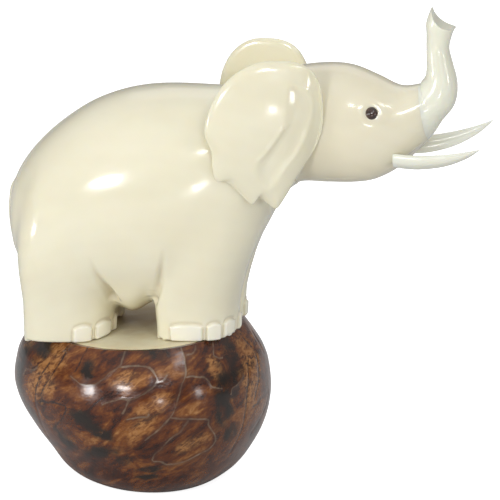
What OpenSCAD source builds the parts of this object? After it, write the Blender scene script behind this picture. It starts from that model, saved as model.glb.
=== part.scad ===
// Elephant figurine of carved palm nut, standing on the sawn face of a whole
// polished nut. Millimetres, +Z up, the head towards +X, the elephant's right
// side towards -Y. The origin is the centre of the flat that the nut rests on.

/* [Base nut] */
// Height of the sawn face above the table, at the middle of the nut
face_z = 26.4; // [24.6:0.2:28]
// How far the sawn face rises towards the head, in degrees
lean = 2.5; // [0:0.5:5]
// Thickness of the brown skin left on the nut
skin = 0.7; // [0.4:0.1:1.5]
// How strongly the nut's outline is three-sided
three_sided = 0.05; // [0:0.01:0.1]

/* [Elephant] */
// Thickness of the ear slabs
ear_t = 2.2; // [1.6:0.1:3]
// Radius of an eye
eye_r = 1.15; // [0.8:0.05:1.5]
// How far out from the middle plane the tips of the tusks stand
tusk_out = 9.4; // [7:0.2:11]
// Radius of the hollow between the two lips of the trunk's tip
lip_hollow_r = 3.4; // [2.8:0.1:4]

/* [Joints] */
// Radius of the dowel between the body and the head
neck_dowel_r = 2; // [1:0.1:3]
// Radius of the pin between the head and the trunk
trunk_pin_r = 0.8; // [0.5:0.1:1.2]
// Radius of the pegs between the feet and the nut
foot_peg_r = 1.25; // [0.8:0.05:1.6]
// Radius of the tenon at the root of each tusk
tenon_r = 0.85; // [0.6:0.05:1]
// Glue gap left round every pin, peg and tenon
glue = 0.05; // [0.02:0.01:0.1]

/* [Detail] */
// Facets round the body and the nut
round_n = 44; // [24:4:60]
// Rings between two stations of the body
rings_between = 3; // [2:1:4]

/* [Hidden] */

ivory = [0.93, 0.90, 0.79];
ivory_shade = [0.84, 0.80, 0.66];
nut_brown = [0.36, 0.20, 0.10];
eye_brown = [0.16, 0.09, 0.06];
birch = [0.80, 0.66, 0.45];

// The nut's profile: height, middle in X, half width in X, half width in Y
nut_profile = [
    [0.0, 0.0, 10.4, 10.0],
    [0.7, 0.0, 12.4, 11.9],
    [2.6, 0.2, 14.8, 14.1],
    [5.5, 0.3, 16.9, 16.0],
    [9.0, 0.0, 19.1, 18.0],
    [13.0, -0.6, 20.7, 19.4],
    [17.0, -1.2, 21.2, 19.9],
    [20.5, -1.5, 20.6, 19.4],
    [23.5, -1.9, 19.3, 18.1],
    [26.4, -1.8, 17.2, 16.1]
];
nut_h = 26.4;
// The direction, in degrees, of one of the nut's three blunt corners
nut_corner = -77;

// Stations of the carving from the rump to the tip of the trunk:
// middle X, middle Z, lean of the ring, half height, half width
spine = [
    [-23.6, 45.6, 0, 0.9, 1.1],
    [-22.9, 45.6, 0, 5.2, 6],
    [-21.2, 45.4, 0, 8.8, 9.2],
    [-18.4, 45.5, 0, 12.2, 12],
    [-15, 46.2, 0, 14.6, 13.9],
    [-10, 47.4, 0, 16.9, 15.2],
    [-4, 48.5, 0, 18.2, 15.6],
    [2, 49.1, 0, 18.6, 15.4],
    [8, 50, 0, 17.8, 14.4],
    [13, 51.5, 0, 16.3, 12.8],
    [18, 54.7, 0, 13.6, 10.8],
    [22, 59.3, 0, 10.7, 9.2],
    [25, 61.9, 0, 9.8, 8.3],
    [30, 62.4, 0, 10, 8.2],
    [34, 62.3, 0, 9.8, 8],
    [38, 61.9, 0, 8.7, 7.3],
    [42, 62.3, 2, 6.7, 6],
    [45.9, 64.8, 11, 4.7, 4.3],
    [47.1, 66.6, 28, 3.75, 3.8],
    [48.5, 68.6, 46, 3.4, 3.4],
    [48.8, 71, 66, 2.8, 2.9],
    [48.4, 73.6, 80, 2.2, 2.5],
    [48.1, 75.8, 88, 1.9, 2.2],
    [48.3, 78, 88, 2.1, 2.2],
    [48.6, 80, 87, 2.45, 2.3],
    [48.9, 82.4, 87, 2, 2.1]
];
shoulder_station = 8;
neck_station = 12;
trunk_station = 17;
// How square the rings are: 2 is an ellipse
ring_square = 2.15;

// Stations of a leg from inside the body to below the sawn face:
// height, middle X, middle Y, half width in X, half width in Y
rear_leg = [
    [54, -11.4, 6.0, 6.8, 6.6],
    [46, -12.0, 6.9, 8.2, 8.0],
    [39, -12.4, 7.2, 8.1, 7.5],
    [33, -12.3, 7.0, 7.4, 6.3],
    [29, -12.3, 6.9, 7.3, 5.8],
    [22, -12.3, 6.8, 7.1, 5.5]
];
front_leg = [
    [54, 10.2, 5.4, 7.6, 6.6],
    [46, 10.9, 6.4, 8.6, 7.1],
    [39, 9.8, 6.6, 7.2, 6.4],
    [33, 8.9, 6.3, 6.4, 5.6],
    [29, 8.9, 6.2, 6.2, 5.3],
    [22, 8.9, 6.0, 6.0, 5.0]
];
// How far the outer side of each leg is set back from its inner side
leg_skew = 0.3;
leg_square = 2.6;
leg_n = 24;
ankle = 4;
// Toenails: direction round the foot from the nose side, and half span, in degrees
rear_toes = [[-22, 8], [18, 10], [58, 9]];
front_toes = [[-16, 8], [16, 10], [50, 10], [88, 14]];
toe_r = 0.9;
toe_sunk = 0.3;
toe_low = 0.9;
toe_high = 2.6;

// The tail in relief down the rump: X, Z and radius
tail_line = [
    [-22.4, 51.1, 0.9], [-23.3, 46.6, 1], [-22.9, 41.6, 0.9],
    [-21.2, 36.6, 0.9], [-19.6, 32.6, 1.1], [-19, 30.1, 0.6]
];

// The edge of an ear, clockwise from its top as seen from the right: X and Z
ear_edge = [
    [22.2, 75.2], [26, 74.8], [29.2, 73.2], [30.9, 70.2], [31.3, 66],
    [30.8, 63], [29.3, 60.2], [27.2, 57.4], [25.2, 54.6], [23.6, 51.8],
    [22.2, 49.8], [20.8, 51.2], [19.4, 51.9], [18.3, 50.8], [16.4, 52.8],
    [14.4, 54.8], [12.6, 55.2], [12, 57.6], [11.9, 60.1], [10.9, 62.8],
    [11, 65.6], [12.4, 69.4], [14.4, 72.2], [16.9, 74.1], [19.6, 75.1]
];
ear_hub = [23, 64.6];
// The ear's inner face stands this far out along the head, and flares behind it
ear_out = 7.3;
ear_flare = 0.34;
ear_bend_x = 28;
ear_bend_r = 3;
ear_normal = [0.4, -0.9];
// The left ear is a little narrower than the right one, and is set further back
left_ear_narrow = 0.9;
left_ear_turn = 10;
left_ear_shift = [-3.5, 0, -0.5];
// Rings of the ear: distance from the hub to the edge, and height through the slab
ear_rings = [
    [0.05, 0.0], [0.55, 0.0], [0.88, 0.03], [0.97, 0.15], [1.0, 0.35],
    [0.97, 0.65], [0.88, 1.0], [0.7, 1.3], [0.4, 1.6], [0.05, 1.7]
];

eye_at = [37.9, 6.5, 66.0];
eye_axis = [0.22, 0.82, 0.52];
eye_depth = 2;

// A tusk's line from the root to the tip: X, share of its way out, Z and half height
tusk_line = [
    [41.0, 0.0, 57.5, 1.5],
    [45.5, 0.2, 57.5, 1.5],
    [50.0, 0.45, 58.3, 1.3],
    [53.6, 0.72, 59.6, 0.8],
    [56.2, 1.0, 61.1, 0.15]
];
tusk_root_y = 4.6;
// A tusk is a blade: this much thinner than high, its top edge leaning out
tusk_flat = 0.55;
tusk_lean = 30;
tenon_l = 4.5;
tenon_in = 3;

// The middle of the round hollow between the two lips
lip_hollow = [50.5, 0, 82.7];

neck_z = 61;
neck_dowel_l = 14;
trunk_pin_l = 7;
foot_peg_l = 9;
foot_peg_places = [[-12, 7.2], [10, -6.4]];

/* Curves */

function pick(list, i) = list[max(0, min(len(list) - 1, i))];
function blend(a, b, c, d, t) =
    0.5 * (2 * b + (c - a) * t + (2 * a - 5 * b + 4 * c - d) * t * t
        + (3 * b - a - 3 * c + d) * t * t * t);
// A smooth curve through a list of stations, with n steps between two of them
function smooth(list, n) = [
    for (i = [0:len(list) - 2])
        for (k = [0:n - 1])
            blend(pick(list, i - 1), list[i], list[i + 1], pick(list, i + 2), k / n),
    list[len(list) - 1]
];
// The same for a closed loop
function around(list, i) = list[(i + len(list)) % len(list)];
function smooth_loop(list, n) = [
    for (i = [0:len(list) - 1])
        for (k = [0:n - 1])
            blend(around(list, i - 1), list[i], around(list, i + 1), around(list, i + 2), k / n)
];
function power(v, e) = sign(v) * pow(abs(v), e);
function from_to(list, a, b) = [for (i = [a:b]) list[i]];

// One ring of the carving, in the plane of its station
function spine_ring(s) = [
    for (k = [0:round_n - 1])
        let (a = 360 * k / round_n,
            up = s[3] * power(sin(a), 2 / ring_square),
            side = s[4] * power(cos(a), 2 / ring_square))
        [s[0] - up * sin(s[2]), side, s[1] + up * cos(s[2])]
];
function leg_ring(s, side) = [
    for (k = [0:leg_n - 1])
        let (a = 360 * k / leg_n,
            out = s[4] * power(sin(a), 2 / leg_square))
        [s[1] + s[3] * power(cos(a), 2 / leg_square) - side * leg_skew * out, side * s[2] + out, s[0]]
];
// One ring of the nut, set in by the skin where the kernel is wanted
function nut_ring(s, inset) = [
    for (k = [0:round_n - 1])
        let (a = 360 * k / round_n,
            r = 1 + three_sided * cos(3 * (a - nut_corner)),
            x = s[1] + (s[2] - inset) * r * cos(a),
            y = (s[3] - inset) * r * sin(a))
        [x, y, face_height(x) * s[0] / nut_h]
];
function face_height(x) = face_z + tan(lean) * x;

/* Solids from rings */

// The wall between two rings; turned swaps the diagonal that splits each of its faces
function wall(n, a, b, turned = false) = [
    for (i = [0:n - 1])
        let (j = (i + 1) % n, p = a * n + i, q = a * n + j, r = b * n + j, s = b * n + i)
        each turned ? [[p, q, s], [q, r, s]] : [[p, q, r], [p, r, s]]
];
// A closed solid through rings, with flat ends
module skin_over(rings) {
    n = len(rings[0]);
    last = len(rings) - 1;
    polyhedron(
        points = [for (r = rings) each r],
        faces = [
            [for (i = [0:n - 1]) i],
            for (j = [0:last - 1]) each wall(n, j + 1, j),
            [for (i = [n - 1:-1:0]) last * n + i]
        ],
        convexity = 8
    );
}
// A shell between an outer and an inner stack of rings, open at both ends
module shell_between(outer, inner) {
    n = len(outer[0]);
    m = len(outer);
    polyhedron(
        points = [for (r = outer) each r, for (r = inner) each r],
        faces = [
            for (j = [0:m - 2]) each wall(n, j + 1, j),
            for (j = [0:m - 2]) each wall(n, m + j, m + j + 1, true),
            each wall(n, 0, m),
            each wall(n, 2 * m - 1, m - 1)
        ],
        convexity = 8
    );
}
// Points the child's +Z along a direction
module along(v) {
    rotate([0, acos(v[2] / norm(v)), atan2(v[1], v[0])]) children();
}
module pin(r, l) {
    cylinder(r = r, h = l, center = true, $fn = 48);
}

/* Base nut */

nut_lines = smooth(nut_profile, 2);
module foot_pegs(gap = 0) {
    color(birch)
        for (p = foot_peg_places)
            translate([p[0], p[1], face_height(p[0])])
                pin(foot_peg_r + gap, foot_peg_l + 2 * gap);
}
module nut_kernel() {
    color(ivory_shade)
        difference() {
            skin_over([for (s = nut_lines) nut_ring(s, skin)]);
            foot_pegs(glue);
        }
}
module nut_skin() {
    color(nut_brown)
        shell_between([for (s = nut_lines) nut_ring(s, 0)], [for (s = nut_lines) nut_ring(s, skin)]);
}

/* Carving */

spine_lines = smooth(spine, rings_between);
shoulder_ring = shoulder_station * rings_between;
neck_ring = neck_station * rings_between;
trunk_ring = trunk_station * rings_between;
module carving(a, b) {
    skin_over([for (s = from_to(spine_lines, a, b)) spine_ring(s)]);
}
module leg(stations, side) {
    lines = smooth(stations, rings_between);
    skin_over([for (k = [len(lines) - 1:-1:0]) leg_ring(lines[k], side)]);
}
module toe(stations, side, t) {
    foot = stations[ankle];
    hull()
        for (a = [t[0] - t[1], t[0] + t[1]], h = [toe_low, toe_high])
            let (out = (foot[4] - toe_sunk) * power(sin(a), 2 / leg_square),
                x = foot[1] + (foot[3] - toe_sunk) * power(cos(a), 2 / leg_square) - leg_skew * out)
            translate([x, side * (foot[2] + out), face_height(x) + h]) sphere(r = toe_r, $fn = 12);
}
module tail() {
    line = smooth(tail_line, 3);
    for (i = [0:len(line) - 2])
        hull()
            for (p = [line[i], line[i + 1]])
                translate([p[0], 0, p[1]]) sphere(r = p[2], $fn = 12);
}
// Everything within reach below the sawn face
module below_face() {
    translate([0, 0, face_z]) rotate([0, -lean, 0]) translate([-50, -50, -20]) cube([100, 100, 20]);
}
module body() {
    color(ivory)
        difference() {
            union() {
                carving(0, neck_ring);
                for (side = [-1, 1]) {
                    leg(rear_leg, side);
                    leg(front_leg, side);
                    for (a = rear_toes) toe(rear_leg, side, a);
                    for (a = front_toes) toe(front_leg, side, a);
                }
                tail();
            }
            below_face();
            foot_pegs(glue);
            neck_dowel(glue);
        }
}
module neck_dowel(gap = 0) {
    color(birch)
        translate([spine[neck_station][0], 0, neck_z])
            rotate([0, 90, 0]) pin(neck_dowel_r + gap, neck_dowel_l + 2 * gap);
}
module trunk_pin(gap = 0) {
    s = spine[trunk_station];
    color(birch)
        translate([s[0], 0, s[1]])
            rotate([0, 90 - s[2], 0]) pin(trunk_pin_r + gap, trunk_pin_l + 2 * gap);
}
// A bead on the head's side, or with a gap the socket drilled for it
module eye(side, gap = 0) {
    dome_r = 1.45 * eye_r;
    translate([eye_at[0], side * eye_at[1], eye_at[2]])
        along([eye_axis[0], side * eye_axis[1], eye_axis[2]])
            if (gap > 0) {
                translate([0, 0, -eye_depth]) cylinder(r = eye_r + gap, h = 2 * eye_depth, $fn = 48);
            } else {
                translate([0, 0, -eye_depth]) cylinder(r = eye_r, h = eye_depth, $fn = 48);
                intersection() {
                    translate([0, 0, -sqrt(dome_r * dome_r - eye_r * eye_r)]) sphere(r = dome_r, $fn = 48);
                    cylinder(r = eye_r, h = dome_r, $fn = 48);
                }
            }
}
function tusk_point(s, side) = [s[0], side * (tusk_root_y + s[1] * (tusk_out - tusk_root_y)), s[2]];
// The tenon at a tusk's root, or with a gap the hole in the jaw for it
module tusk_tenon(side, gap = 0) {
    root = tusk_point(tusk_line[0], side);
    next = tusk_point(tusk_line[1], side);
    translate(root) along(next - root)
        translate([0, 0, -tenon_in]) cylinder(r = tenon_r + gap, h = tenon_l, $fn = 32);
}
module head() {
    color(ivory)
        difference() {
            carving(neck_ring, trunk_ring);
            neck_dowel(glue);
            trunk_pin(glue);
            for (side = [-1, 1]) {
                eye(side, glue);
                tusk_tenon(side, glue);
            }
        }
}
module trunk() {
    color(ivory)
        difference() {
            carving(trunk_ring, len(spine_lines) - 1);
            trunk_pin(glue);
            // The hollow between the two lips of the trunk's tip
            translate(lip_hollow) rotate([90, 0, 0])
                cylinder(r = lip_hollow_r, h = 4 * lip_hollow_r, center = true, $fn = 64);
        }
}

/* Ears */

function ear_side(x) =
    let (back = ear_bend_x - x)
    ear_out + ear_flare * (back + sqrt(back * back + ear_bend_r * ear_bend_r)) / 2;
function ear_ring(r) = [
    for (p = smooth_loop([for (i = [len(ear_edge) - 1:-1:0]) ear_edge[i]], 2))
        let (x = ear_hub[0] + r[0] * (p[0] - ear_hub[0]),
            z = ear_hub[1] + r[0] * (p[1] - ear_hub[1]))
        [x + ear_normal[0] * ear_t * r[1], -ear_side(x) + ear_normal[1] * ear_t * r[1], z]
];
module ear_slab() {
    skin_over([for (r = ear_rings) ear_ring(r)]);
}
module ear_right() {
    color(ivory)
        difference() {
            ear_slab();
            carving(shoulder_ring, trunk_ring);
        }
}
module ear_left() {
    pivot = [ear_bend_x, 0, ear_hub[1]];
    color(ivory)
        difference() {
            translate(left_ear_shift + pivot)
                rotate([0, -left_ear_turn, 0])
                    scale([left_ear_narrow, 1, 1]) translate(-pivot) mirror([0, 1, 0]) ear_slab();
            carving(shoulder_ring, trunk_ring);
        }
}

/* Tusks and eyes */

module tusk(side) {
    line = smooth(tusk_line, 3);
    color(ivory) {
        difference() {
            union() {
                for (i = [0:len(line) - 2])
                    hull()
                        for (p = [line[i], line[i + 1]])
                            translate(tusk_point(p, side))
                                rotate([-side * tusk_lean, 0, 0])
                                    scale([1, tusk_flat, 1]) sphere(r = p[3], $fn = 16);
            }
            carving(neck_ring, trunk_ring);
        }
        tusk_tenon(side);
    }
}
module tusk_right() {
    tusk(-1);
}
module tusk_left() {
    tusk(1);
}
module eye_right() {
    color(eye_brown) eye(-1);
}
module eye_left() {
    color(eye_brown) eye(1);
}

nut_kernel();
nut_skin();
body();
head();
trunk();
ear_right();
ear_left();
tusk_right();
tusk_left();
eye_right();
eye_left();
neck_dowel();
trunk_pin();
foot_pegs();
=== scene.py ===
import math

import bmesh
import bpy
import numpy as np
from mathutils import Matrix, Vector


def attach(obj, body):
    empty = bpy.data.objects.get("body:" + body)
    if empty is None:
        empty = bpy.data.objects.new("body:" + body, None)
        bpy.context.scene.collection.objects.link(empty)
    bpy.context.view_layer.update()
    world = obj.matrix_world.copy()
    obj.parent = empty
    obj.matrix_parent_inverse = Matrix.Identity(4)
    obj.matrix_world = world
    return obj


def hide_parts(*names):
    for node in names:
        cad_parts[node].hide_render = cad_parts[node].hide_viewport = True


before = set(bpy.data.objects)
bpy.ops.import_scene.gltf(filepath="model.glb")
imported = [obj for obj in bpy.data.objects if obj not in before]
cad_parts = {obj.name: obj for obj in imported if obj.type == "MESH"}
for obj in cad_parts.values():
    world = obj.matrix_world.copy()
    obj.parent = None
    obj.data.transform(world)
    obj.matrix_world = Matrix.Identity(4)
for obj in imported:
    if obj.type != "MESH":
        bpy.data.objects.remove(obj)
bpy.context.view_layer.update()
print("frame loaded with", len(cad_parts), "parts")

# Everything is modelled in millimetres and brought to metres when a piece is finished.
metre = 0.001

camera = {
    "azimuth": 8,
    "elevation": 16,
    "distance": 2000,
    "lens": 864,
    "aim": (16.53, 1.28, 39.36),
}


def placeCamera():
    turn, rise = math.radians(camera["azimuth"]), math.radians(camera["elevation"])
    back = Vector((math.sin(turn) * math.cos(rise), -math.cos(turn) * math.cos(rise), math.sin(rise)))
    data = bpy.data.cameras.new("camera")
    data.lens = camera["lens"]
    data.sensor_width = 36
    data.clip_start, data.clip_end = 0.1, 20
    eye = bpy.data.objects.new("camera", data)
    bpy.context.scene.collection.objects.link(eye)
    eye.location = (Vector(camera["aim"]) + camera["distance"] * back) * metre
    eye.rotation_mode = "QUATERNION"
    eye.rotation_quaternion = (-back).to_track_quat("-Z", "Y")
    bpy.context.scene.camera = eye


placeCamera()

# Shared shaping tools


def smoothRows(rows, steps):
    rows = np.array(rows, float)
    padded = np.vstack([rows[:1], rows, rows[-1:]])
    made = []
    for i in range(len(rows) - 1):
        a, b, c, d = padded[i:i + 4]
        for t in np.arange(steps) / steps:
            made.append(0.5 * (2 * b + (c - a) * t + (2 * a - 5 * b + 4 * c - d) * t * t
                               + (3 * b - a - 3 * c + d) * t ** 3))
    return np.array(made + [rows[-1]])


def smoothLoop(points, steps):
    points = [tuple(p) for p in points]
    return smoothRows([points[-1]] + points + points[:2], steps)[steps:-steps - 1]


def power(value, exponent):
    return np.sign(value) * np.abs(value) ** exponent


def ease(value, start, end):
    t = np.clip((value - start) / (end - start), 0, 1)
    return t * t * (3 - 2 * t)


def bump(value, half):
    return 1 - ease(np.abs(value), 0, half)


# Distance from each point to a bent line, and how far along the line the nearest spot is.
def lineDistance(points, line):
    line = np.array(line, float)
    best = np.full(len(points), 1e9)
    along = np.zeros(len(points))
    for i, (a, b) in enumerate(zip(line, line[1:])):
        t = np.clip(((points - a) @ (b - a)) / max((b - a) @ (b - a), 1e-9), 0, 1)
        gap = np.linalg.norm(points - a - t[:, None] * (b - a), axis=1)
        nearer = gap < best
        best = np.where(nearer, gap, best)
        along = np.where(nearer, (i + t) / (len(line) - 1), along)
    return best, along


# Distance to a closed outline, negative inside it.
def insideDistance(points, outline):
    outline = np.array(outline, float)
    gap, _ = lineDistance(points, np.vstack([outline, outline[:1]]))
    inside = np.zeros(len(points), bool)
    for a, b in zip(outline, np.roll(outline, -1, axis=0)):
        crosses = (a[1] > points[:, 1]) != (b[1] > points[:, 1])
        reach = a[0] + (points[:, 1] - a[1]) * (b[0] - a[0]) / (b[1] - a[1] if b[1] != a[1] else 1e-9)
        inside ^= crosses & (points[:, 0] < reach)
    return np.where(inside, -gap, gap)


# Soft lumps that repeat the same way each run.
def lumps(points, size, seed):
    rng = np.random.default_rng(seed)
    total = np.zeros(len(points))
    for _ in range(7):
        direction = rng.normal(size=3)
        direction /= np.linalg.norm(direction)
        wave = points @ direction * 2 * math.pi / size / rng.uniform(0.8, 1.5)
        total += np.sin(wave + rng.uniform(0, 6.3))
    return total / 7


def readPlaces(bm):
    return np.array([v.co for v in bm.verts])


def readNormals(bm):
    bm.normal_update()
    return np.array([v.normal for v in bm.verts])


def writePlaces(bm, places):
    for vert, place in zip(bm.verts, places):
        vert.co = place


def addLoft(bm, rings, ends="closed"):
    loops = []
    for ring in rings:
        verts = bmesh.ops.create_circle(bm, segments=len(ring), radius=1)["verts"]
        for vert, place in zip(verts, ring):
            vert.co = place
        loops.append([bm.edges.get((a, b)) for a, b in zip(verts, verts[1:] + verts[:1])])
    for low, high in zip(loops, loops[1:]):
        bmesh.ops.bridge_loops(bm, edges=low + high)
    if ends == "closed":
        for loop in (loops[0], loops[-1]):
            bmesh.ops.contextual_create(bm, geom=loop)
    if ends == "joined":
        bmesh.ops.bridge_loops(bm, edges=loops[-1] + loops[0])


# Smaller and smaller copies of a ring, which close an end with an even mesh
def inwardRings(ring, shares):
    middle = ring.mean(axis=0)
    return [middle + share * (ring - middle) for share in shares]


# Cuts a shape with a plane and closes the cut; what lies on the normal's side goes.
def trimAt(bm, place, normal):
    cut = bmesh.ops.bisect_plane(bm, geom=bm.verts[:] + bm.edges[:] + bm.faces[:], dist=1e-5,
                                 plane_co=place, plane_no=normal, clear_outer=True)
    rim = [g for g in cut["geom_cut"] if isinstance(g, bmesh.types.BMEdge)]
    bmesh.ops.contextual_create(bm, geom=rim)


# Runs modifiers on a bmesh and gives the result back as a new one.
def throughModifiers(bm, *setups):
    mesh = bpy.data.meshes.new("work")
    bm.to_mesh(mesh)
    bm.free()
    work = bpy.data.objects.new("work", mesh)
    bpy.context.scene.collection.objects.link(work)
    for kind, values in setups:
        modifier = work.modifiers.new(kind, kind)
        for key, value in values.items():
            setattr(modifier, key, value)
    bpy.context.view_layer.update()
    result = work.evaluated_get(bpy.context.evaluated_depsgraph_get())
    made = bmesh.new()
    made.from_mesh(result.to_mesh())
    result.to_mesh_clear()
    bpy.data.objects.remove(work)
    bpy.data.meshes.remove(mesh)
    return made


def smoothShape(bm, verts, rounds):
    for _ in range(rounds):
        bmesh.ops.smooth_vert(bm, verts=verts, factor=0.5,
                              use_axis_x=True, use_axis_y=True, use_axis_z=True)


# Edges that are meant to be sharp keep their place under a subdivision.
def keepCorners(mesh, sharp):
    bm = bmesh.new()
    bm.from_mesh(mesh)
    layer = bm.edges.layers.float.new("crease_edge")
    for edge in bm.edges:
        if edge.calc_face_angle(0) > math.radians(sharp):
            edge[layer] = 1
    bm.to_mesh(mesh)
    bm.free()


def finishPiece(bm, name, material, node, sharp=40, levels=0, marks=None, recalc=True):
    if recalc:
        bmesh.ops.recalc_face_normals(bm, faces=bm.faces)
    for markName, values in (marks or {}).items():
        layer = bm.verts.layers.float.new(markName)
        for vert, value in zip(bm.verts, values):
            vert[layer] = value
    bmesh.ops.scale(bm, vec=(metre, metre, metre), verts=bm.verts)
    mesh = bpy.data.meshes.new(name)
    bm.to_mesh(mesh)
    bm.free()
    mesh.shade_smooth()
    mesh.set_sharp_from_angle(angle=math.radians(sharp))
    mesh.materials.append(material)
    piece = bpy.data.objects.new(name, mesh)
    bpy.context.scene.collection.objects.link(piece)
    if levels:
        keepCorners(mesh, sharp)
        modifier = piece.modifiers.new("finer", "SUBSURF")
        modifier.levels = modifier.render_levels = levels
    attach(piece, "root")
    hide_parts(node)
    print("piece made:", name, len(mesh.polygons), "faces")
    return piece


# Shared material tools


def addNode(tree, kind, wired=None, **settings):
    node = tree.nodes.new(kind)
    for key, value in settings.items():
        setattr(node, key, value)
    for key, value in (wired or {}).items():
        if isinstance(value, bpy.types.NodeSocket):
            tree.links.new(value, node.inputs[key])
        else:
            node.inputs[key].default_value = value
    return node


def addRamp(tree, source, stops):
    node = addNode(tree, "ShaderNodeValToRGB", {"Fac": source})
    while len(node.color_ramp.elements) < len(stops):
        node.color_ramp.elements.new(0.5)
    for element, (place, colour) in zip(node.color_ramp.elements, stops):
        element.position = place
        element.color = (*colour, 1)
    return node.outputs["Color"]


def addMix(tree, share, first, second, blend="MIX"):
    node = addNode(tree, "ShaderNodeMix", data_type="RGBA", blend_type=blend)
    for index, value in ((0, share), (6, first), (7, second)):
        if isinstance(value, bpy.types.NodeSocket):
            tree.links.new(value, node.inputs[index])
        else:
            node.inputs[index].default_value = value if index == 0 else (*value, 1)
    return node.outputs[2]


def addMath(tree, operation, first, second):
    return addNode(tree, "ShaderNodeMath", {0: first, 1: second}, operation=operation).outputs[0]


def addRange(tree, value, low, high, newLow=0.0, newHigh=1.0):
    node = addNode(tree, "ShaderNodeMapRange", {"Value": value, "From Min": low, "From Max": high,
                                                "To Min": newLow, "To Max": newHigh},
                   interpolation_type="SMOOTHSTEP")
    return node.outputs["Result"]


def newGroup(name, inputs, outputs):
    group = bpy.data.node_groups.new(name, "ShaderNodeTree")
    for socketName, kind, value in inputs:
        socket = group.interface.new_socket(socketName, in_out="INPUT", socket_type=kind)
        if value is not None:
            socket.default_value = value
    for socketName, kind in outputs:
        group.interface.new_socket(socketName, in_out="OUTPUT", socket_type=kind)
    source = group.nodes.new("NodeGroupInput")
    target = group.nodes.new("NodeGroupOutput")
    return group, source.outputs, target.inputs


def addGroup(tree, group, wired):
    return addNode(tree, "ShaderNodeGroup", wired, node_tree=group).outputs


def newMaterial(name):
    material = bpy.data.materials.new(name)
    material.use_nodes = True
    tree = material.node_tree
    place = addNode(tree, "ShaderNodeTexCoord").outputs["Object"]
    return material, tree, tree.nodes["Principled BSDF"], place


# Growth layers of the palm nut: wavering shells round a middle, with faint clouding.
def makeGrowthGroup():
    group, given, wanted = newGroup(
        "growthLayers",
        [("Vector", "NodeSocketVector", None), ("Spacing", "NodeSocketFloat", 900.0),
         ("Waver", "NodeSocketFloat", 0.5), ("Cloud Scale", "NodeSocketFloat", 120.0)],
        [("Layers", "NodeSocketFloat"), ("Cloud", "NodeSocketFloat")])
    slow = addNode(group, "ShaderNodeTexNoise", {"Vector": given["Vector"], "Scale": given["Cloud Scale"],
                                                 "Detail": 3.0, "Roughness": 0.55})
    rings = addNode(group, "ShaderNodeTexWave", {"Vector": given["Vector"], "Scale": given["Spacing"],
                                                 "Distortion": given["Waver"], "Detail": 2.0,
                                                 "Detail Scale": 0.3},
                    wave_type="RINGS", rings_direction="Y")
    group.links.new(rings.outputs["Fac"], wanted["Layers"])
    group.links.new(slow.outputs["Fac"], wanted["Cloud"])
    return group


# Fine scratches and hand-polished unevenness, as a height and a mask.
def makePolishGroup():
    group, given, wanted = newGroup(
        "handPolish",
        [("Vector", "NodeSocketVector", None), ("Scratch Scale", "NodeSocketFloat", 1500.0),
         ("Dull Scale", "NodeSocketFloat", 260.0)],
        [("Height", "NodeSocketFloat"), ("Dull", "NodeSocketFloat")])
    stretched = addNode(group, "ShaderNodeMapping", {"Vector": given["Vector"], "Scale": (0.12, 1.0, 1.0),
                                                     "Rotation": (0.3, 0.4, 0.7)})
    scratches = addNode(group, "ShaderNodeTexNoise", {"Vector": stretched.outputs[0], "Detail": 3.0,
                                                      "Scale": given["Scratch Scale"], "Roughness": 0.6})
    dull = addNode(group, "ShaderNodeTexNoise", {"Vector": given["Vector"], "Scale": given["Dull Scale"],
                                                 "Detail": 4.0, "Roughness": 0.6})
    group.links.new(scratches.outputs["Fac"], wanted["Height"])
    group.links.new(dull.outputs["Fac"], wanted["Dull"])
    return group


growthLayers = makeGrowthGroup()
handPolish = makePolishGroup()

ivoryTones = {
    "body": {"light": (0.85, 0.81, 0.63), "deep": (0.83, 0.78, 0.59), "glow": 0.30, "rough": 0.18},
    "head": {"light": (0.81, 0.76, 0.59), "deep": (0.79, 0.73, 0.55), "glow": 0.30, "rough": 0.17},
    "trunk": {"light": (0.84, 0.84, 0.71), "deep": (0.82, 0.81, 0.67), "glow": 0.30, "rough": 0.20},
    "ear": {"light": (0.84, 0.80, 0.62), "deep": (0.82, 0.77, 0.58), "glow": 0.30, "rough": 0.17},
    "tusk": {"light": (0.84, 0.85, 0.75), "deep": (0.76, 0.75, 0.64), "glow": 0.25, "rough": 0.20},
}


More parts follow.
